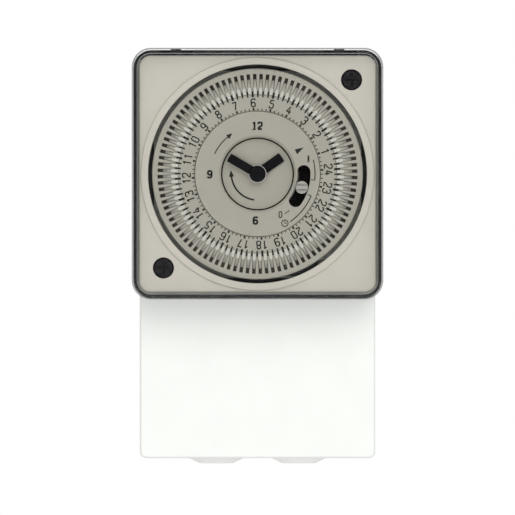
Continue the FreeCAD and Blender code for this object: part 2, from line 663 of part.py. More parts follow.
def override_lever():
    middle = clock(OVERRIDE_ANGLE)
    back, front = 41.9, 43.1
    collar_out, shutter_in, shutter_out, shutter_half_angle = 14.3, 13.0, 16.6, 46.0
    knob_r, knob_back, knob_front, knob_in, knob_out = 1.8, 43.0, 45.7, 11.55, 15.1
    grip_half_l, grip_half_w, grip_front = 1.5, 0.45, 46.5
    groove_at, groove_half_w, groove_depth = 0.75, 0.12, 0.5
    collar = ring(DISH_R + DISH_WALL + 0.05, collar_out, back, front)
    shutter = sector(shutter_in, shutter_out, middle - shutter_half_angle, middle + shutter_half_angle,
                     back, front)
    x, y = polar(SWITCH_SLOT_R, middle)
    knob = disc(knob_r, knob_back, knob_front, x, y)
    knob = knob.common(disc(knob_out, knob_back, knob_front)).cut(disc(knob_in, knob_back, knob_front))
    grooves = [box(x - 2 * knob_r, x + 2 * knob_r, y + s * groove_at - groove_half_w,
                   y + s * groove_at + groove_half_w, knob_front - groove_depth, knob_front) for s in (-1, 1)]
    knob = knob.cut(grooves)
    grip = box(x - grip_half_l, x + grip_half_l, y - grip_half_w, y + grip_half_w, knob_front - 0.1,
               grip_front)
    leg_half_w, leg_out, leg_in, arm_in, arm_z, pin_r = 1.5, 13.8, 12.2, 9.2, (39.8, 41.0), 0.8
    leg = box(leg_in, leg_out, -leg_half_w, leg_half_w, arm_z[0], back + 0.1)
    arm = box(arm_in, leg_out, -leg_half_w, leg_half_w, *arm_z)
    pin = disc(pin_r, LEVER_Z[0] + 0.2, arm_z[0] + 0.1, 10.0, 0.0)
    below = turned(joined([leg, arm, pin]), middle)
    return joined([collar, shutter, knob, grip, below])


def detent_spring():
    """Leaf that leans on the override lever's collar, held by a block on the retaining ring."""
    leaf = sector(14.4, 14.7, 135.0, 172.0, 42.0, 43.0)
    anchor = sector(14.4, 16.2, 130.0, 136.0, 39.0, 43.0)
    return joined([leaf, anchor])


# ---- movement -----------------------------------------------------------------------------
def motor_axis():
    return polar(GEAR_CENTRES, MOTOR_DIRECTION)


def motion_axis():
    return polar(GEAR_CENTRES, MOTION_DIRECTION)


def dial_drive_axis():
    return polar(DIAL_DRIVE_CENTRES, DIAL_DRIVE_DIRECTION)


def pillar_places():
    return [polar(25.0, a) for a in (60.0, 120.0, 235.0, 305.0)]


def rear_plate():
    motor_pinion_hole_r = 4.0
    plate = disc(PLATE_R_REAR, *REAR_PLATE_Z)
    holes = [disc(motor_pinion_hole_r, *REAR_PLATE_Z, *motor_axis()),
             disc(PIVOT_R, *REAR_PLATE_Z, *motion_axis()),
             disc(PIVOT_HOLE_R, *REAR_PLATE_Z, *dial_drive_axis()),
             disc(PIVOT_HOLE_R, *REAR_PLATE_Z)]
    holes += [disc(TENON_R, *REAR_PLATE_Z, x, y) for x, y in pillar_places()]
    return plate.cut(holes)


def front_plate():
    corner_r, tube_hole_r, pipe_hole_r, arbor_hole_r, stud_r = 1.4, 4.2, 2.25, 1.53, 1.2
    half = BODY_HALF - BODY_WALL - 0.3
    plate = rounded_block(half, half, corner_r, *FRONT_PLATE_Z)
    plate = plate.cut([disc(tube_hole_r, *FRONT_PLATE_Z, x, y) for x, y in module_screw_corners()])
    hub = ring(HUB_BORE_R, HUB_R, FRONT_PLATE_Z[1], HUB_TOP)
    window = box(8.0, 16.0, -8.0, 8.0, FRONT_PLATE_Z[1], LEVER_Z[1] + 0.8)
    hub = hub.cut(turned(window, LEVER_PIVOT_DIRECTION))
    plate = joined([plate, hub])
    holes = [disc(pipe_hole_r, *FRONT_PLATE_Z), disc(arbor_hole_r, *FRONT_PLATE_Z, *dial_drive_axis())]
    holes += [disc(TENON_R, *FRONT_PLATE_Z, x, y) for x, y in pillar_places()]
    holes += [disc(stud_r, *FRONT_PLATE_Z, *lever_pivot())]
    holes += [box(x - 1.3, x + 1.3, -28.5, -25.5, *FRONT_PLATE_Z) for x in TAG_XS]
    return plate.cut(holes)


def plate_pillar(x, y):
    return joined([disc(PILLAR_R, REAR_PLATE_Z[1], FRONT_PLATE_Z[0], x, y),
                   disc(TENON_R, REAR_PLATE_Z[0], FRONT_PLATE_Z[1], x, y)])


def minute_arbor():
    driven_z, cannon_z = (19.8, 21.4), (21.4, 23.6)
    shaft = disc(MINUTE_SHAFT_R, REAR_PLATE_Z[1] + 0.2, MINUTE_SHAFT_TOP)
    pivot = disc(PIVOT_R, REAR_PLATE_Z[0], REAR_PLATE_Z[1] + 0.3)
    driven = gear(MINUTE_WHEEL_TEETH, FINE, MOTOR_DIRECTION, *driven_z)
    cannon = gear(CANNON_TEETH, FINE, MOTION_DIRECTION, *cannon_z)
    return joined([shaft, pivot, driven, cannon])


def motion_wheel():
    x, y = motion_axis()
    back = MOTION_DIRECTION + 180.0
    low, mid, high = 22.0, 23.6, 25.8
    wheel = gear(MOTION_WHEEL_TEETH, FINE, gap_phase(MOTION_WHEEL_TEETH, back), low, mid, x, y)
    pinion = gear(MOTION_PINION_TEETH, MOTION_MODULE, back, mid, high, x, y)
    return joined([wheel, pinion]).cut(disc(PIVOT_HOLE_R, low, high, x, y))


def motion_stud():
    x, y = motion_axis()
    shoulder_r, shoulder_top, stud_top = 1.8, 21.9, 26.0
    shoulder = disc(shoulder_r, REAR_PLATE_Z[1], shoulder_top, x, y)
    return joined([disc(PIVOT_R, REAR_PLATE_Z[0], stud_top, x, y), shoulder])


def hour_wheel():
    """Pipe round the minute arbor with the hour wheel and the wheel that drives the dial."""
    back, rim_front = 24.0, 44.05
    neck_back, neck_front = HOUR_HAND_Z
    pipe = joined([disc(PIPE_R, back, neck_back), disc(PIPE_NECK_R, neck_back, neck_front),
                   disc(PIPE_RIM_R, neck_front, rim_front)])
    phase = gap_phase(HOUR_WHEEL_TEETH, MOTION_DIRECTION)
    driven = gear(HOUR_WHEEL_TEETH, MOTION_MODULE, phase, 24.2, 25.8)
    driver = gear(TRANSFER_TEETH, TRANSFER_MODULE, DIAL_DRIVE_DIRECTION, 26.4, 28.0)
    return joined([pipe, driven, driver]).cut(disc(PIPE_BORE_R, back, rim_front))


def dial_drive_wheel():
    x, y = dial_drive_axis()
    back = DIAL_DRIVE_DIRECTION + 180.0
    wheel_back, wheel_front, shaft_r = 26.4, 28.0, 1.5
    wheel_phase = gap_phase(DIAL_DRIVE_TEETH, back)
    pinion_phase = gap_phase(DIAL_PINION_TEETH, back)
    wheel = gear(DIAL_DRIVE_TEETH, TRANSFER_MODULE, wheel_phase, wheel_back, wheel_front, x, y)
    pinion = gear(DIAL_PINION_TEETH, FINE, pinion_phase, *DIAL_GEAR_Z, x, y)
    shaft = disc(shaft_r, wheel_back, DIAL_GEAR_Z[1], x, y)
    return joined([wheel, pinion, shaft, disc(PIVOT_R, REAR_PLATE_Z[0], wheel_back, x, y)])


def hand(angle, half_width, tip_r, hub_r, bore_r, z0, z1):
    """Straight bar hand with a square tip, pointing clockwise angle from the top."""
    bar = box(0, tip_r, -half_width, half_width, z0, z1)
    bar = bar.common(disc(tip_r, z0, z1))
    body = joined([turned(bar, clock(angle)), disc(hub_r, z0, z1)])
    return body.cut(disc(bore_r, z0, z1))


def hour_hand():
    half_width, tip_r, hub_r = 1.4, 8.5, 2.35
    return hand(HOUR_HAND_ANGLE, half_width, tip_r, hub_r, PIPE_NECK_R, *HOUR_HAND_Z)


def minute_hand():
    half_width, tip_r, edge_r = 1.25, 9.5, 0.4
    front = MINUTE_HAND_Z[1]
    bar = hand(MINUTE_HAND_ANGLE, half_width, tip_r, HUB_CAP_R, MINUTE_SHAFT_R, *MINUTE_HAND_Z)
    boss = disc(HUB_CAP_R, front, HUB_CAP_TOP).cut(disc(MINUTE_SHAFT_R, front, MINUTE_SHAFT_TOP))
    boss = soften(boss, edge_r, lambda e: at_height(e, HUB_CAP_TOP))
    return joined([bar, boss])


def motor_case():
    back, front = MOTOR_Z
    can = disc(MOTOR_R, back, front, MOTOR_X, MOTOR_Y)
    inside = disc(MOTOR_R - MOTOR_WALL, back + MOTOR_WALL, front - 1.0, MOTOR_X, MOTOR_Y)
    ear_half_w, ear_half_l, ear_y = 2.5, 3.2, 18.0
    ears = [box(MOTOR_X - ear_half_w, MOTOR_X + ear_half_w, MOTOR_Y + s * ear_y - ear_half_l,
                MOTOR_Y + s * ear_y + ear_half_l, front - MOTOR_WALL, front) for s in (-1, 1)]
    can = joined([can] + ears)
    return can.cut([inside, disc(PIVOT_HOLE_R, front - 1.8, front, *motor_axis())])


def motor_coil():
    inner, outer = COIL_R
    back, front = COIL_Z
    spool = ring(inner, outer, back, front, MOTOR_X, MOTOR_Y)
    rims = [ring(inner, COIL_RIM_R, z, z + COIL_RIM_T, MOTOR_X, MOTOR_Y)
            for z in (back - COIL_RIM_T, front)]
    return joined([spool] + rims)


def motor_rotor():
    back, front = COIL_Z
    return joined([disc(ROTOR_R, back, front, MOTOR_X, MOTOR_Y),
                   disc(ROTOR_SHAFT_R, back - 0.6, front + 1.8, MOTOR_X, MOTOR_Y)])


def motor_pinion():
    x, y = motor_axis()
    phase = gap_phase(MOTOR_PINION_TEETH, MOTOR_DIRECTION + 180.0)
    teeth = gear(MOTOR_PINION_TEETH, FINE, phase, 19.6, 21.6, x, y)
    return joined([teeth, disc(PIVOT_R, 16.2, 22.0, x, y)])


# ---- switch ------------------------------------------------------------------------------
def lever_pivot():
    return polar(LEVER_PIVOT_R, LEVER_PIVOT_DIRECTION)


def switch_lever():
    """Follower: fork for the override pin, arm to the switch and arm to the tappets' feet."""
    z0, z1 = LEVER_Z
    x, y = lever_pivot()
    fork = box(8.8, 18.0, -5.9, 5.9, z0, z1).cut(box(8.0, 12.4, -4.8, 4.8, z0, z1))
    fork = turned(fork.fuse(box(17.5, LEVER_PIVOT_R, -2.0, 2.0, z0, z1)), LEVER_PIVOT_DIRECTION)
    boss_r, bore_r = 2.4, 1.23
    boss = disc(boss_r, z0, z1, x, y)
    down = extruded([(x - 1.2, y), (x + 1.6, y), (21.4, -26.0), (19.5, -26.0)], z0, z1)
    tip = clock(POINTER_ANGLE)
    up = extruded([(x - 1.5, y), (x + 1.5, y), polar(30.3, tip - 2), polar(29.1, tip + 2)], z0, z1)
    sensor_in, sensor_out, sensor_half_angle, sensor_top = 29.0, 30.4, 3.0, 39.4
    sensor = sector(sensor_in, sensor_out, tip - sensor_half_angle, tip + sensor_half_angle, z0, sensor_top)
    lever = joined([fork, boss, down, up, sensor])
    return lever.cut(disc(bore_r, z0, z1, x, y))


def lever_stud():
    x, y = lever_pivot()
    stud_r, shoulder_r = 1.2, 1.8
    shoulder = disc(shoulder_r, FRONT_PLATE_Z[1], LEVER_Z[0] - 0.1, x, y)
    return joined([disc(stud_r, FRONT_PLATE_Z[0], LEVER_Z[1] + 0.2, x, y), shoulder])


def microswitch_case():
    x0, x1, y0, y1, z0, z1 = SWITCH_BOX
    wall, fit = 0.8, 0.1
    case = box(x0, x1, y0, y1, z0, z1)
    case = case.cut(box(x0 + wall, x1 - wall, y0 + wall, y1 - wall, z0 + wall, z1 - wall))
    guide = rod(PLUNGER_R + fit / 2, point(x1 - 2, SWITCH_Y, PLUNGER_Z), point(x1 + 1, SWITCH_Y, PLUNGER_Z))
    half = TAG_HALF_W + fit
    tags = [box(x - half, x + half, *TAG_Y, z0, z0 + wall) for x in TAG_XS]
    return case.cut([guide] + tags)


def microswitch_plunger():
    inner_end, outer_end = 15.95, 19.3
    return rod(PLUNGER_R, point(inner_end, SWITCH_Y, PLUNGER_Z), point(outer_end, SWITCH_Y, PLUNGER_Z))


def microswitch_blade():
    """Moving contact: a leaf that turns about the rolled eye at its lower end."""
    low_y, high_y, z0, z1 = -28.2, -21.6, 31.6, 34.2
    left, right, eye_r, button_r, button_z = 15.5, 15.8, 0.3, 0.7, 32.9
    leaf = box(left, right, low_y, high_y, z0, z1)
    eye = disc(eye_r, z0, z1, (left + right) / 2, low_y)
    button = rod(button_r, point(left, CONTACT_Y, button_z), point(left - 0.4, CONTACT_Y, button_z))
    return joined([leaf, eye, button])


def microswitch_contacts():
    """Fixed contact on its bent tag, and the plain tag that feeds the moving leaf."""
    tag_end, tag_top, arm_top, button_r, button_z = 26.4, 32.0, 34.0, 0.7, 33.0
    live_x, fixed_x = TAG_XS
    arm_x = (12.2, fixed_x + TAG_HALF_W)
    fixed_tag = box(fixed_x - TAG_HALF_W, fixed_x + TAG_HALF_W, *TAG_Y, tag_end, tag_top)
    fixed_arm = box(*arm_x, TAG_Y[0], -21.6, tag_top, arm_top)
    button = rod(button_r, point(arm_x[1], CONTACT_Y, button_z), point(arm_x[1] + 0.4, CONTACT_Y, button_z))
    live_tag = box(live_x - TAG_HALF_W, live_x + TAG_HALF_W, *TAG_Y, tag_end, tag_top)
    return group([joined([fixed_tag, fixed_arm, button]), live_tag])


def lead_wires():
    """Insulated leads from the ends of the bus bars to the motor and the switch."""
    start = BUS_BAR_END_Y - AXIS_Y
    xs = live_xs()
    motor_ends = (-8.9, -12.5)
    low_z, bend_z, tag_z, tag_y = 8.0, 8.4, 26.4, -26.6
    motor_leads = [rod(WIRE_R, point(x, start, low_z), point(x, end, low_z))
                   for x, end in zip(xs, motor_ends)]
    switch_leads = []
    for bar_x, tag_x in zip(xs[2:], TAG_XS):
        rise = rod(WIRE_R, point(bar_x + 1.0, start - 0.7, bend_z), point(bar_x + 1.0, start - 0.7, tag_z))
        bridge = box(bar_x + WIRE_R, tag_x + WIRE_R, start - 1.1, tag_y, tag_z - 0.8, tag_z)
        switch_leads.append(joined([rise, bridge]))
    return group(motor_leads + switch_leads)


# ---- write every part ------------------------------------------------------------------------
def on_base_parts():
    return {
        "wall_base": wall_base(),
        "terminal_cover": terminal_cover(),
        "cable_grommets": group([cable_grommet(s * CABLE_X) for s in (-1, 1)]),
        "terminal_block": terminal_block(),
        "terminal_pillars": group([terminal_pillar(x) for x in terminal_xs()]),
        "terminal_screws": group([terminal_screw(x) for x in terminal_xs()]),
        "bus_bars": group([bus_bar(x) for x in live_xs()]),
    }


def module_parts():
    parts = {
        "module_housing": module_housing(),
        "front_bezel": front_bezel(),
        "bezel_screws": group([bezel_screw(x, y) for x, y in module_screw_corners()]),
        "clear_cover": clear_cover(),
        "cover_hinge_pins": group([cover_hinge_pin(s) for s in (-1, 1)]),
        "program_dial": program_dial(),
        "dial_retaining_ring": dial_retaining_ring(),
        "centre_plate": centre_plate(),
        "override_lever": override_lever(),
        "detent_spring": detent_spring(),
        "rear_plate": rear_plate(),
        "front_plate": front_plate(),
        "plate_posts": group([plate_pillar(x, y) for x, y in pillar_places()]
                            + [lever_stud(), motion_stud()]),
        "minute_arbor": minute_arbor(),
        "motion_wheel": motion_wheel(),
        "hour_wheel": hour_wheel(),
        "dial_drive_wheel": dial_drive_wheel(),
        "hour_hand": hour_hand(),
        "minute_hand": minute_hand(),
        "motor_case": motor_case(),
        "motor_coil": motor_coil(),
        "motor_rotor": motor_rotor(),
        "motor_pinion": motor_pinion(),
        "switch_lever": switch_lever(),
        "microswitch_case": microswitch_case(),
        "microswitch_plunger": microswitch_plunger(),
        "microswitch_blade": microswitch_blade(),
        "microswitch_contacts": microswitch_contacts(),
        "lead_wires": lead_wires(),
    }
    for hour in range(1, 25):
        parts["tappets_hour_%02d" % hour] = tappet_bank(hour)
    return parts


for part_name, part_shape in on_base_parts().items():
    save(part_name, part_shape)
for part_name, part_shape in module_parts().items():
    save(part_name, on_module(part_shape))
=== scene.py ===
"""Programmable timer: looks, printed marks, floor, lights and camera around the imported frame."""
import json
import math

import bmesh
import bpy
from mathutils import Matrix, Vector


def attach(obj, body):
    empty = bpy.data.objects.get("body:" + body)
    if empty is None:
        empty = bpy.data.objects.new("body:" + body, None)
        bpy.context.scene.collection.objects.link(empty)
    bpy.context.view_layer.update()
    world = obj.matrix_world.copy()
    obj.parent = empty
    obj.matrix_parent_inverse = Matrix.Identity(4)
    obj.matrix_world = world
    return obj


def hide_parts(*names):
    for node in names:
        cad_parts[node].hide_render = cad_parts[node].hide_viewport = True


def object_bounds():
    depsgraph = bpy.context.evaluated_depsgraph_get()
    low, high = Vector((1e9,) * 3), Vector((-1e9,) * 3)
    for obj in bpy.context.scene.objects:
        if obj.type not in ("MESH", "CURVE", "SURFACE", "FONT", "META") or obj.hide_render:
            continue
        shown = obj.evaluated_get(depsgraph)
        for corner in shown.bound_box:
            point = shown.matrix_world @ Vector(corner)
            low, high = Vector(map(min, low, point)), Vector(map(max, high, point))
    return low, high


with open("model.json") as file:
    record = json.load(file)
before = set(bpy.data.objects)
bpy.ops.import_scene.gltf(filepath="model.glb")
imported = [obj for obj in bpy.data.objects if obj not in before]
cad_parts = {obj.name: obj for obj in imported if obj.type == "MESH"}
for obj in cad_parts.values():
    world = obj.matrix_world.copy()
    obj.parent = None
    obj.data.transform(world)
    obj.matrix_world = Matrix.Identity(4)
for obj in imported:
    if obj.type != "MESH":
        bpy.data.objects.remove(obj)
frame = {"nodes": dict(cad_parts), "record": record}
cad_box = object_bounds()
nodes = frame["nodes"]

MM = 0.001
AXIS_HEIGHT = 24.0          # the dial axis above the frame's origin, mm
DIAL_FACE = 44.5            # distances from the wall plane, mm
PLATE_FACE = 45.0
RECESS_FACE = 42.8
GROOVE_FLOOR = 41.8
GROOVE_R = (10.08, 10.5)
INK = 0.02                  # thickness of a printed mark
CORNER_STEPS = 5            # pieces a rounded corner is drawn in
SHORTEST_RUN = 1e-9         # two path points closer than this count as one
LEAST_MITRE = 0.5           # keeps the outer corner of a sharp bend from running away


# ---- geometry helpers: millimetres in the dial plane, x right, y up, z out from the wall ----
def place(x, y, z):
    return Vector((x, -z, y + AXIS_HEIGHT)) * MM


def clock(radius, degrees):
    """Point at a radius and an angle clockwise from the top."""
    angle = math.radians(degrees)
    return radius * math.sin(angle), radius * math.cos(angle)


def turn(u, v, degrees):
    """Turns a point clockwise about the dial axis."""
    angle = math.radians(degrees)
    c, s = math.cos(angle), math.sin(angle)
    return u * c + v * s, -u * s + v * c


def prism(bm, outline, z0, z1):
    """Closed solid over an outline."""
    low = [bm.verts.new(place(x, y, z0)) for x, y in outline]
    high = [bm.verts.new(place(x, y, z1)) for x, y in outline]
    bm.faces.new(low)
    bm.faces.new(high)
    count = len(outline)
    for i in range(count):
        j = (i + 1) % count
        bm.faces.new((low[i], low[j], high[j], high[i]))


def bar(bm, r0, r1, degrees, width, z0, z1):
    """Radial bar."""
    half = width / 2
    corners = [(-half, r0), (half, r0), (half, r1), (-half, r1)]
    prism(bm, [turn(u, v, degrees) for u, v in corners], z0, z1)


def arc(bm, r0, r1, a0, a1, z0, z1, step=2.0):
    """Ring sector between two radii and two clockwise angles."""
    count = max(2, int(abs(a1 - a0) / step) + 1)
    angles = [a0 + (a1 - a0) * i / count for i in range(count + 1)]
    outer = [clock(r1, a) for a in angles]
    inner = [clock(r0, a) for a in reversed(angles)]
    prism(bm, outer + inner, z0, z1)


def ring(bm, r0, r1, z0, z1, count=180, centre=(0.0, 0.0)):
    """Closed ring."""
    cx, cy = centre
    rows = []
    for radius, z in ((r0, z0), (r1, z0), (r1, z1), (r0, z1)):
        row = []
        for i in range(count):
            x, y = clock(radius, 360.0 * i / count)
            row.append(bm.verts.new(place(cx + x, cy + y, z)))
        rows.append(row)
    for k in range(4):
        a, b = rows[k], rows[(k + 1) % 4]
        for i in range(count):
            j = (i + 1) % count
            bm.faces.new((a[i], a[j], b[j], b[i]))


def arrow_head(bm, radius, degrees, length, half, z0, z1):
    """Triangle pointing clockwise along the arc at a radius."""
    corners = [(0.0, radius + half), (length, radius), (0.0, radius - half)]
    prism(bm, [turn(u, v, degrees) for u, v in corners], z0, z1)


def rounded(points, radius, closed=False):
    """Path with its corners cut to curves; a closed path has every corner rounded."""
    count = len(points)
    out = []
    for i, point in enumerate(points):
        if not closed and i in (0, count - 1):
            out.append(point)
            continue
        here, before, after = Vector(point), Vector(points[i - 1]), Vector(points[(i + 1) % count])
        back, ahead = before - here, after - here
        cut = min(radius, back.length / 2, ahead.length / 2)
        start, end = here + back.normalized() * cut, here + ahead.normalized() * cut
        for k in range(CORNER_STEPS + 1):
            t = k / CORNER_STEPS
            spot = start * (1 - t) ** 2 + here * 2 * t * (1 - t) + end * t ** 2
            out.append((spot.x, spot.y))
    return out


def ribbon(bm, path, width, z0, z1, spot, closed=False):
    """Closed solid along a path in a figure's own plane; spot(u, v) gives the dial plane."""
    count = len(path)
    rows = []
    for i in range(count):
        here = Vector(path[i])
        before = Vector(path[i - 1]) if closed or i else here
        after = Vector(path[(i + 1) % count]) if closed or i < count - 1 else here
        runs = [r.normalized() for r in (here - before, after - here) if r.length > SHORTEST_RUN]
        along = sum(runs, Vector((0, 0))).normalized()
        side = Vector((-along.y, along.x))
        mitre = max(LEAST_MITRE, side.dot(Vector((-runs[0].y, runs[0].x))))
        reach = side * (width / 2 / mitre)
        row = []
        for edge, z in ((here + reach, z0), (here - reach, z0), (here - reach, z1), (here + reach, z1)):
            row.append(bm.verts.new(place(*spot(edge.x, edge.y), z)))
        rows.append(row)
    for i in range(count if closed else count - 1):
        a, b = rows[i], rows[(i + 1) % count]
        for k in range(4):
            j = (k + 1) % 4
            bm.faces.new((a[k], a[j], b[j], b[k]))
    if not closed:
        bm.faces.new(rows[0])
        bm.faces.new(rows[-1])


# Figures one unit high and FIGURE_W wide: (path, closed) for each stroke. W is short for the width.
FIGURE_W = 0.50
W = FIGURE_W
STROKES = {
    "0": [([(0, 0), (W, 0), (W, 1), (0, 1)], True)],
    "1": [([(0.08, 0.80), (0.30, 1), (0.30, 0)], False)],
    "2": [([(0, 0.74), (0, 1), (W, 1), (W, 0.56), (0, 0.16), (0, 0), (W, 0)], False)],
    "3": [([(0, 0.80), (0, 1), (W, 1), (W, 0.54), (0.16, 0.54)], False),
          ([(0.16, 0.54), (W, 0.54), (W, 0), (0, 0), (0, 0.20)], False)],
    "4": [([(0.28, 1), (0, 0.28), (W + 0.04, 0.28)], False), ([(0.36, 0.62), (0.36, 0)], False)],
    "5": [([(W, 1), (0.05, 1), (0.02, 0.56), (W, 0.62), (W, 0), (0, 0), (0, 0.20)], False)],
    "6": [([(0, 0), (W, 0), (W, 0.58), (0, 0.58)], True), ([(0, 0.30), (0, 1), (W, 1), (W, 0.84)], False)],
    "7": [([(0, 1), (W, 1), (0.18, 0)], False)],
    "8": [([(0, 0), (W, 0), (W, 0.53), (0, 0.53)], True),
          ([(0.03, 0.53), (W - 0.03, 0.53), (W - 0.03, 1), (0.03, 1)], True)],
    "9": [([(0, 1), (W, 1), (W, 0.42), (0, 0.42)], True), ([(W, 0.70), (W, 0), (0, 0), (0, 0.16)], False)],
    "I": [([(0.25, 0), (0.25, 1)], False)],
}
CORNER = 0.26               # radius of a figure's corners, in figure heights
SHARP_CORNERS = {"1": 0.03, "4": 0.03, "7": 0.03, "I": 0.0}


def lettering(bm, text, height, stroke, z0, z1, spot, gap=0.30, flat=1.0):
    """Figures side by side, centred on the origin of spot(u, v); flat widens or narrows them."""
    scale = height - stroke
    pitch = (FIGURE_W * flat + gap) * scale
    for i, figure in enumerate(text):
        left = (i - (len(text) - 1) / 2) * pitch - FIGURE_W * flat * scale / 2
        for path, closed in STROKES[figure]:
            points = [(left + x * flat * scale, (y - 0.5) * scale) for x, y in path]
            smooth = rounded(points, SHARP_CORNERS.get(figure, CORNER) * scale, closed)
            ribbon(bm, smooth, stroke, z0, z1, spot, closed)


def added(name, data):
    """Puts a new object with a mesh, light or camera into the scene."""
    obj = bpy.data.objects.new(name, data)
    bpy.context.scene.collection.objects.link(obj)
    return obj


def finished(bm, name, body, material):
    """Makes a piece from a bmesh, with its material and the body it rides on."""
    bmesh.ops.recalc_face_normals(bm, faces=bm.faces)
    mesh = bpy.data.meshes.new(name)
    bm.to_mesh(mesh)
    bm.free()
    mesh.materials.append(material)
    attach(added(name, mesh), body)


def copied(node, name, body, materials, pick):
    """Copy of a CAD node that takes its place, with a material chosen face by face."""
    mesh = nodes[node].data.copy()
    mesh.name = name
    mesh.materials.clear()
    for material in materials:
        mesh.materials.append(material)
    for face in mesh.polygons:
        face.material_index = pick(mesh, face)
    piece = added(name, mesh)
    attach(piece, body)
    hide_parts(node)


# ---- materials --------------------------------------------------------------------------------
DRIFT_FROM, DRIFT_TO = 0.32, 0.68   # noise levels between which the colour drifts
GRAIN_DETAIL = 2.0
ROUGH_SPREAD = 0.07         # the grain moves the roughness this far up and down
LEAST_ROUGH = 0.02
BUMP_STRENGTH = 0.35
SMEAR_SCALE = 60.0          # noise scale of the smears on clear plastic
SMEAR_ROUGHER = 3           # a smear is up to this many times rougher than clean plastic


def base_material(name):
    material = bpy.data.materials.new(name)
    material.use_nodes = True
    tree = material.node_tree
    tree.nodes.clear()
    return material, tree.nodes, tree.links


def noise(graph, links, where, scale, detail=3.0, roughness=0.55):
    node = graph.new("ShaderNodeTexNoise")
    node.inputs["Scale"].default_value = scale
    node.inputs["Detail"].default_value = detail
    node.inputs["Roughness"].default_value = roughness
    links.new(where, node.inputs["Vector"])
    return node.outputs["Fac"]


def moulded(name, colour, rough, spread=0.04, grain=2600.0, depth=0.004, specular=0.4,
            blotch=90.0, metallic=0.0, stretch=None):
    """Moulded or rolled surface: slight colour drift, grain in the roughness, fine bump.

    spread is the share by which the colour drifts, blotch and grain are the noise scales of the
    drift and of the fine surface, depth is the height of the bump in mm, and stretch scales the
    three axes so that the surface looks drawn or wound."""
    material, graph, links = base_material(name)
    out = graph.new("ShaderNodeOutputMaterial")
    shader = graph.new("ShaderNodeBsdfPrincipled")
    where = graph.new("ShaderNodeTexCoord").outputs["Object"]
    if stretch:
        mapping = graph.new("ShaderNodeMapping")
        mapping.inputs["Scale"].default_value = stretch
        links.new(where, mapping.inputs["Vector"])
        where = mapping.outputs["Vector"]
    drift = graph.new("ShaderNodeValToRGB")
    dark = [c * (1 - spread) for c in colour]
    light = [min(1.0, c * (1 + spread)) for c in colour]
    drift.color_ramp.elements[0].position = DRIFT_FROM
    drift.color_ramp.elements[0].color = (*dark, 1)
    drift.color_ramp.elements[1].position = DRIFT_TO
    drift.color_ramp.elements[1].color = (*light, 1)
    links.new(noise(graph, links, where, blotch), drift.inputs["Fac"])
    links.new(drift.outputs["Color"], shader.inputs["Base Color"])
    fine = noise(graph, links, where, grain, GRAIN_DETAIL)
    spread_rough = graph.new("ShaderNodeMapRange")
    spread_rough.inputs["To Min"].default_value = max(LEAST_ROUGH, rough - ROUGH_SPREAD)
    spread_rough.inputs["To Max"].default_value = min(1.0, rough + ROUGH_SPREAD)
    links.new(fine, spread_rough.inputs["Value"])
    links.new(spread_rough.outputs["Result"], shader.inputs["Roughness"])
    bump = graph.new("ShaderNodeBump")
    bump.inputs["Strength"].default_value = BUMP_STRENGTH
    bump.inputs["Distance"].default_value = depth * MM
    links.new(fine, bump.inputs["Height"])
    links.new(bump.outputs["Normal"], shader.inputs["Normal"])
    shader.inputs["Specular IOR Level"].default_value = specular
    shader.inputs["Metallic"].default_value = metallic
    links.new(shader.outputs["BSDF"], out.inputs["Surface"])
    return material


def clear(name, tint, blend, rough=0.02, inside=0.0):
    """Clear plastic: see-through face on, glossy towards its edges.

    blend is how soon the gloss sets in, and inside is how much of it the surface keeps when it is
    met from within the plastic."""
    material, graph, links = base_material(name)
    out = graph.new("ShaderNodeOutputMaterial")
    through = graph.new("ShaderNodeBsdfTransparent")
    through.inputs["Color"].default_value = (*tint, 1)
    gloss = graph.new("ShaderNodeBsdfGlossy")
    where = graph.new("ShaderNodeTexCoord").outputs["Object"]
    smear = graph.new("ShaderNodeMapRange")
    smear.inputs["To Min"].default_value = rough
    smear.inputs["To Max"].default_value = rough * SMEAR_ROUGHER
    links.new(noise(graph, links, where, SMEAR_SCALE), smear.inputs["Value"])
    links.new(smear.outputs["Result"], gloss.inputs["Roughness"])
    weight = graph.new("ShaderNodeLayerWeight")
    weight.inputs["Blend"].default_value = blend
    from_within = graph.new("ShaderNodeMapRange")
    from_within.inputs["To Min"].default_value = 1.0
    from_within.inputs["To Max"].default_value = inside
    links.new(graph.new("ShaderNodeNewGeometry").outputs["Backfacing"], from_within.inputs["Value"])
    share = graph.new("ShaderNodeMath")
    share.operation = "MULTIPLY"
    links.new(weight.outputs["Fresnel"], share.inputs[0])
    links.new(from_within.outputs["Result"], share.inputs[1])
    mix = graph.new("ShaderNodeMixShader")
    links.new(share.outputs["Value"], mix.inputs["Fac"])
    links.new(through.outputs["BSDF"], mix.inputs[1])
    links.new(gloss.outputs["BSDF"], mix.inputs[2])
    links.new(mix.outputs["Shader"], out.inputs["Surface"])
    return material


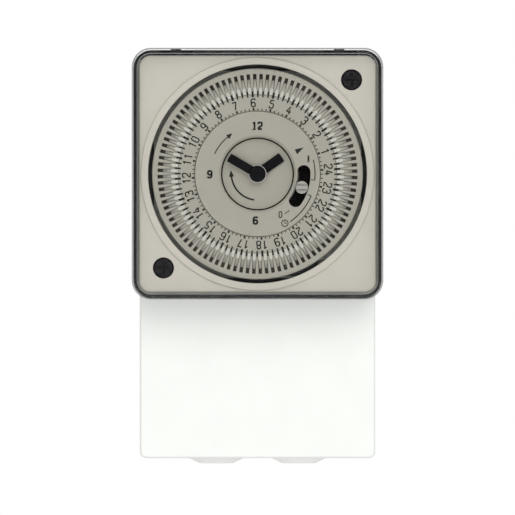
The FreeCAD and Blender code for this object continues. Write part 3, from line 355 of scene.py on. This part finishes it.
looks = {
    "white_plastic": moulded("white_moulding", (0.768, 0.778, 0.748), rough=0.42, spread=0.012,
                             grain=1800.0, depth=0.006, specular=0.35),
    "grommet_grey": moulded("soft_bush", (0.90, 0.90, 0.88), rough=0.7, spread=0.02, grain=1500.0,
                            depth=0.01, specular=0.25),
    "terminal_plastic": moulded("terminal_moulding", (0.6, 0.6, 0.58), rough=0.5, spread=0.04),
    "brass": moulded("turned_brass", (0.72, 0.52, 0.22), rough=0.3, spread=0.08, grain=900.0, depth=0.006,
                     specular=0.5, blotch=300.0, metallic=1.0),
    "zinc_steel": moulded("zinc_plate", (0.62, 0.63, 0.65), rough=0.32, spread=0.06, grain=1500.0,
                          depth=0.004, specular=0.5, blotch=300.0, metallic=1.0),
    "case_black": moulded("black_moulding", (0.012, 0.012, 0.013), rough=0.42, spread=0.2, grain=2200.0,
                          depth=0.006, specular=0.3),
    "bezel_beige": moulded("bezel_moulding", (0.482, 0.454, 0.40), rough=0.5, spread=0.02, grain=3200.0,
                           depth=0.006, specular=0.25),
    "dial_beige": moulded("dial_moulding", (0.315, 0.297, 0.253), rough=0.48, spread=0.025, grain=3200.0,
                          depth=0.005, specular=0.25),
    "tappet_white": moulded("tappet_moulding", (0.46, 0.445, 0.395), rough=0.45, spread=0.03, grain=3000.0,
                            depth=0.005, specular=0.3),
    "hand_black": moulded("hand_lacquer", (0.006, 0.006, 0.007), rough=0.6, spread=0.2, grain=3000.0,
                          depth=0.003, specular=0.04),
    "screw_black": moulded("screw_oxide", (0.011, 0.010, 0.012), rough=0.3, spread=0.7, grain=1500.0,
                           depth=0.08, specular=0.07, blotch=900.0),
    "gear_nylon": moulded("gear_moulding", (0.78, 0.77, 0.72), rough=0.45, spread=0.03),
    "plate_steel": moulded("rolled_plate", (0.55, 0.56, 0.57), rough=0.36, spread=0.06, grain=900.0,
                           depth=0.004, specular=0.5, blotch=160.0, metallic=1.0, stretch=(6.0, 1.0, 1.0)),
    "spring_steel": moulded("spring_strip", (0.45, 0.46, 0.48), rough=0.28, spread=0.05, grain=900.0,
                            depth=0.003, specular=0.5, blotch=200.0, metallic=1.0, stretch=(1.0, 8.0, 1.0)),
    "coil_tape": moulded("coil_tape", (0.72, 0.5, 0.08), rough=0.35, spread=0.08, grain=700.0, depth=0.02,
                         specular=0.5, blotch=200.0, metallic=0.0, stretch=(1.0, 1.0, 9.0)),
    "magnet_black": moulded("sintered_magnet", (0.03, 0.03, 0.033), rough=0.6, spread=0.2, grain=1600.0,
                            depth=0.02),
    "wire_insulation": moulded("wire_sleeve", (0.08, 0.16, 0.4), rough=0.4, spread=0.05),
    "switch_black": moulded("switch_moulding", (0.02, 0.02, 0.022), rough=0.45, spread=0.1),
    "clear_polycarbonate": clear("clear_cover", (0.985, 0.988, 0.985), blend=0.06),
}
rim_look = clear("clear_cover_rim", (0.84, 0.845, 0.84), blend=0.28, rough=0.03, inside=0.55)
shutter_look = moulded("shutter_black", (0.003, 0.0025, 0.0025), rough=0.7, spread=0.2, grain=3000.0,
                       depth=0.003, specular=0.03)
# painted shade: the slot floors get a dark colour that stands in for the shadow deep in the slots
painted_slot_shade_look = moulded("slot_floor_painted_shade", (0.085, 0.076, 0.066), rough=0.6, spread=0.2, grain=3000.0,
                          depth=0.004, specular=0.1)
knob_look = moulded("override_knob", (0.30, 0.29, 0.26), rough=0.4, spread=0.03, grain=3000.0, depth=0.004,
                    specular=0.3)
faint_ink = moulded("faint_line", (0.27, 0.255, 0.22), rough=0.5, spread=0.05, grain=3000.0, depth=0.002,
                    specular=0.15)
ink = moulded("printing_ink", (0.012, 0.012, 0.009), rough=0.5, spread=0.25, grain=3000.0, depth=0.002,
              specular=0.15)

slot_of = {row["node"]: row["material_slot"] for row in frame["record"]["subparts"]}
for name, obj in nodes.items():
    own = [m.name.split(".")[0] if m else "" for m in obj.data.materials]
    for i, material_name in enumerate(own):
        key = material_name if material_name in looks else slot_of[name]
        obj.data.materials[i] = looks[key]

# ---- programme dial: painted shade, the floors of its slots coloured dark for the shadow in them ---
SLOT_FLOOR = 42.4           # distance from the wall plane, mm
FLAT = 0.999
FACE_SLACK = 0.05


def floor_or_face(_mesh, face):
    depth = -face.center.y / MM
    return int(abs(face.normal.y) > FLAT and abs(depth - SLOT_FLOOR) < FACE_SLACK)


copied("program_dial", "program_dial_painted_slot_shade", "dial",
       (looks["dial_beige"], painted_slot_shade_look), floor_or_face)

# ---- override lever: dark shutter behind its slot, with a light knob --------------------------
KNOB_BACK = 43.0            # the knob stands on the shutter from here outward, mm from the wall
KNOB_DEEPER = 0.2           # faces of the knob reach at least this far beyond its foot


def knob_or_shutter(mesh, face):
    out_from_wall = [-mesh.vertices[v].co.y / MM for v in face.vertices]
    from_foot = min(out_from_wall) > KNOB_BACK - FACE_SLACK
    return int(from_foot and max(out_from_wall) > KNOB_BACK + KNOB_DEEPER)


copied("override_lever", "override_lever_two_tone", "override",
       (shutter_look, knob_look), knob_or_shutter)

# ---- clear cover: thin pane, denser look through its walls and rounded edges -----------------
PANE_DEPTHS = (50.0, 51.5)
KNUCKLE_FRONT = 38.8        # the hinge knuckles lie behind this and above KNUCKLE_LOW
KNUCKLE_LOW = 34.0


def pane_or_rim(_mesh, face):
    depth = -face.center.y / MM
    height = face.center.z / MM - AXIS_HEIGHT
    on_pane = abs(face.normal.y) > FLAT and min(abs(depth - d) for d in PANE_DEPTHS) < FACE_SLACK
    on_knuckle = depth < KNUCKLE_FRONT and height > KNUCKLE_LOW
    return int(not (on_pane or on_knuckle))


copied("clear_cover", "clear_cover_two_finishes", "front_cover",
       (looks["clear_polycarbonate"], rim_look), pane_or_rim)

# ---- printed marks on the dial ----------------------------------------------------------------
# Angles are clockwise from the top; a pair (from, to) along a radius or an angle is a span.
POINTER_ANGLE = 59.0
TIME_AT_POINTER = 1.0 + 50.0 / 60.0
HOURS = 24
QUARTERS = 4
HOUR_STEP = 360.0 / HOURS
HOUR_ONE = POINTER_ANGLE + HOUR_STEP * (TIME_AT_POINTER - 1.0)
OUTER_TICKS = (22.05, 23.75)
INNER_TICKS_FROM, INNER_TICKS_TO, INNER_HOUR_TICKS_TO = 18.2, 18.75, 18.95
OUTER_TICK_W, OUTER_HOUR_TICK_W = 0.42, 0.66
INNER_TICK_W, INNER_HOUR_TICK_W = 0.30, 0.56
HOUR_FIGURE_R = 20.4
HOUR_FIGURE_H = 2.6
HOUR_FIGURE_STROKE = 0.37
SINK = 0.01                 # a mark starts this far below its surface


def printed(face):
    """Distances of a mark's back and front from the wall plane."""
    return face - SINK, face + INK


def on_dial(degrees):
    """Places an hour figure on the ring of figures, its foot towards the axis."""
    return lambda u, v: turn(u, v + HOUR_FIGURE_R, degrees)


def beside(x, y):
    """Places a figure upright at a point of the dial plane."""
    return lambda u, v: (u + x, v + y)


z0, z1 = printed(DIAL_FACE)
bm = bmesh.new()
for i in range(HOURS * QUARTERS):
    degrees = HOUR_ONE - HOUR_STEP / QUARTERS * i
    on_hour = i % QUARTERS == 0
    bar(bm, *OUTER_TICKS, degrees, OUTER_HOUR_TICK_W if on_hour else OUTER_TICK_W, z0, z1)
    inner_to = INNER_HOUR_TICKS_TO if on_hour else INNER_TICKS_TO
    bar(bm, INNER_TICKS_FROM, inner_to, degrees, INNER_HOUR_TICK_W if on_hour else INNER_TICK_W, z0, z1)
finished(bm, "quarter_hour_marks", "dial", ink)

bm = bmesh.new()
for hour in range(1, HOURS + 1):
    spot = on_dial(HOUR_ONE - HOUR_STEP * (hour - 1))
    lettering(bm, str(hour), HOUR_FIGURE_H, HOUR_FIGURE_STROKE, z0, z1, spot)
finished(bm, "hour_figures", "dial", ink)

# ---- printed marks on the centre plate --------------------------------------------------------
BOLD = 0.56
THIN = 0.18
CLOCK_FIGURE_H = 2.45
CLOCK_FIGURE_GAP = 0.36
CLOCK_FIGURE_FLAT = 1.1
TWELVE_AT, NINE_AT, SIX_AT = (-0.1, 13.8), (-13.7, -0.1), (-0.6, -13.4)
TWELVE_FOOT = [(-1.55, 12.75), (-0.45, 12.75)]      # serif under the 1 of the 12
TWELVE_FOOT_W = 0.3

z0, z1 = printed(PLATE_FACE)
bm = bmesh.new()
for text, at in (("12", TWELVE_AT), ("9", NINE_AT), ("6", SIX_AT)):
    lettering(bm, text, CLOCK_FIGURE_H, BOLD, z0, z1, beside(*at),
              gap=CLOCK_FIGURE_GAP, flat=CLOCK_FIGURE_FLAT)
ribbon(bm, TWELVE_FOOT, TWELVE_FOOT_W, z0, z1, beside(0, 0))
finished(bm, "clock_figures", "base_and_module", ink)

TURN_ARROW_R, TURN_ARROW_SPAN, TURN_HEAD = (13.43, 13.73), (295.0, 321.5), (13.6, 321.0, 1.75, 0.72)
POINTER_MARK_ANGLE = 60.2
POINTER_MARK = [(-0.78, 12.7), (0.78, 12.7), (0.0, 15.3)]
ON_SCALE_R, ON_SCALE_SPAN = (16.36, 16.66), (75.9, 96.2)
OFF_SCALE_R, OFF_SCALE_SPAN = (16.46, 16.76), (112.4, 145.6)
SCALE_TICK_FROM, SCALE_TICK_W = 15.5, 0.24
OFF_LEADER = [(7.8, -11.45), (9.2, -10.5)]
ON_SIGN_AT, ON_SIGN_H, ON_SIGN_STROKE = (14.6, 4.3), 1.95, 0.5
ON_SERIF_SPAN, ON_SERIF_HEIGHTS = (14.2, 15.0), (3.42, 5.18)
OFF_SIGN_AT, OFF_SIGN_H, OFF_SIGN_STROKE, OFF_SIGN_FLAT = (6.6, -11.7), 2.0, 0.30, 0.95
AUTO_AT, AUTO_R = (7.85, -14.15), (0.79, 1.05)      # small clock sign
AUTO_HANDS = [(7.85, -13.5), (7.85, -14.15), (8.4, -14.15)]
AUTO_HANDS_W = 0.22
AUTO_SIDES = 40

bm = bmesh.new()
arc(bm, *TURN_ARROW_R, *TURN_ARROW_SPAN, z0, z1)
arrow_head(bm, *TURN_HEAD, z0, z1)
prism(bm, [turn(u, v, POINTER_MARK_ANGLE) for u, v in POINTER_MARK], z0, z1)
arc(bm, *ON_SCALE_R, *ON_SCALE_SPAN, z0, z1)
bar(bm, SCALE_TICK_FROM, ON_SCALE_R[1], ON_SCALE_SPAN[1], SCALE_TICK_W, z0, z1)
bar(bm, SCALE_TICK_FROM, OFF_SCALE_R[1], OFF_SCALE_SPAN[0], SCALE_TICK_W, z0, z1)
arc(bm, *OFF_SCALE_R, *OFF_SCALE_SPAN, z0, z1)
ribbon(bm, OFF_LEADER, SCALE_TICK_W, z0, z1, beside(0, 0))
lettering(bm, "I", ON_SIGN_H, ON_SIGN_STROKE, z0, z1, beside(*ON_SIGN_AT))
for y in ON_SERIF_HEIGHTS:
    ribbon(bm, [(x, y) for x in ON_SERIF_SPAN], THIN, z0, z1, beside(0, 0))
lettering(bm, "0", OFF_SIGN_H, OFF_SIGN_STROKE, z0, z1, beside(*OFF_SIGN_AT), flat=OFF_SIGN_FLAT)
ring(bm, *AUTO_R, z0, z1, count=AUTO_SIDES, centre=AUTO_AT)
ribbon(bm, AUTO_HANDS, AUTO_HANDS_W, z0, z1, beside(0, 0))
finished(bm, "setting_marks", "base_and_module", ink)

SCALE_EDGE_R, SCALE_EDGE_ANGLES, SCALE_EDGE_W = (12.4, 16.3), (75.0, 135.0), 0.1
bm = bmesh.new()
for degrees in SCALE_EDGE_ANGLES:
    bar(bm, *SCALE_EDGE_R, degrees, SCALE_EDGE_W, z0, z1)
finished(bm, "scale_edges", "base_and_module", faint_ink)

HAND_ARROW_R, HAND_ARROW_SPAN, HAND_HEAD = (7.25, 7.75), (187.0, 264.5), (7.5, 264.0, 1.95, 0.74)
z0, z1 = printed(RECESS_FACE)
bm = bmesh.new()
arc(bm, *HAND_ARROW_R, *HAND_ARROW_SPAN, z0, z1)
arrow_head(bm, *HAND_HEAD, z0, z1)
finished(bm, "hand_turn_arrow", "base_and_module", ink)

# painted shade: a black ring in the printing ink on the groove floor stands in for the shadow in the groove
z0, z1 = printed(GROOVE_FLOOR)
bm = bmesh.new()
ring(bm, *GROOVE_R, z0, z1)
finished(bm, "recess_groove_painted_shade", "base_and_module", ink)

# ---- floor, lights, camera --------------------------------------------------------------------
low_corner = cad_box[0]
FLOOR_DROP = 0.30           # the floor below the object, which hangs as on its wall
FLOOR_HALF = 2.5
bm = bmesh.new()
for x, y in ((-1, -1), (1, -1), (1, 1), (-1, 1)):
    bm.verts.new((x * FLOOR_HALF, y * FLOOR_HALF, low_corner.z - FLOOR_DROP))
bm.faces.new(bm.verts)
mesh = bpy.data.meshes.new("floor")
bm.to_mesh(mesh)
bm.free()
mesh.materials.append(moulded("pale_floor", (0.90, 0.90, 0.90), rough=0.8, spread=0.005, grain=40.0,
                              depth=0.01, specular=0.1, blotch=3.0))
added("floor", mesh)


def softbox(name, power, size, where):
    """Rectangular light of a power in watts, aimed at the object."""
    data = bpy.data.lights.new(name, "AREA")
    data.shape = "RECTANGLE"
    data.size, data.size_y = size
    data.energy = power
    obj = added(name, data)
    obj.location = where
    obj.rotation_euler = (-Vector(where)).to_track_quat("-Z", "Y").to_euler()


softbox("key_light", power=10.4, size=(1.5, 0.9), where=(0.3, -1.5, 0.85))
softbox("low_light", power=8.6, size=(1.4, 0.3), where=(-0.2, -1.7, -0.18))
softbox("side_light", power=2.0, size=(0.8, 1.2), where=(1.6, -0.9, 0.5))
softbox("back_light", power=3.0, size=(1.4, 1.0), where=(-0.3, 1.6, 1.2))

WHITE = (1, 1, 1, 1)
FILL_TINT = (0.98, 0.99, 1, 1)
FILL_STRENGTH = 0.58        # light from all around; the backdrop itself is plain white
world = bpy.data.worlds.new("studio")
bpy.context.scene.world = world
world.use_nodes = True
graph, links = world.node_tree.nodes, world.node_tree.links
graph.clear()
out = graph.new("ShaderNodeOutputWorld")
seen = graph.new("ShaderNodeBackground")
seen.inputs["Color"].default_value = WHITE
seen.inputs["Strength"].default_value = 1.0
fill = graph.new("ShaderNodeBackground")
fill.inputs["Color"].default_value = FILL_TINT
fill.inputs["Strength"].default_value = FILL_STRENGTH
path = graph.new("ShaderNodeLightPath")
mix = graph.new("ShaderNodeMixShader")
links.new(path.outputs["Is Camera Ray"], mix.inputs["Fac"])
links.new(fill.outputs["Background"], mix.inputs[1])
links.new(seen.outputs["Background"], mix.inputs[2])
links.new(mix.outputs["Shader"], out.inputs["Surface"])

SENSOR_WIDTH = 36.0         # of the camera, mm
VIEW_WIDTH = 0.1478         # seen by the camera in the plane of the dial, m
DIAL_PLANE = 0.045          # distance of that plane from the wall, m
DISTANCE = 2.0              # of the camera from that plane, m
scene = bpy.context.scene
scene.view_settings.view_transform = "Standard"
camera_data = bpy.data.cameras.new("camera")
camera = added("camera", camera_data)
camera_data.lens = SENSOR_WIDTH * DISTANCE / VIEW_WIDTH
camera_data.clip_start, camera_data.clip_end = 0.05, 20.0
camera.location = (0.0, -DISTANCE - DIAL_PLANE, 0.0)
camera.rotation_euler = (math.pi / 2, 0, 0)
scene.camera = camera
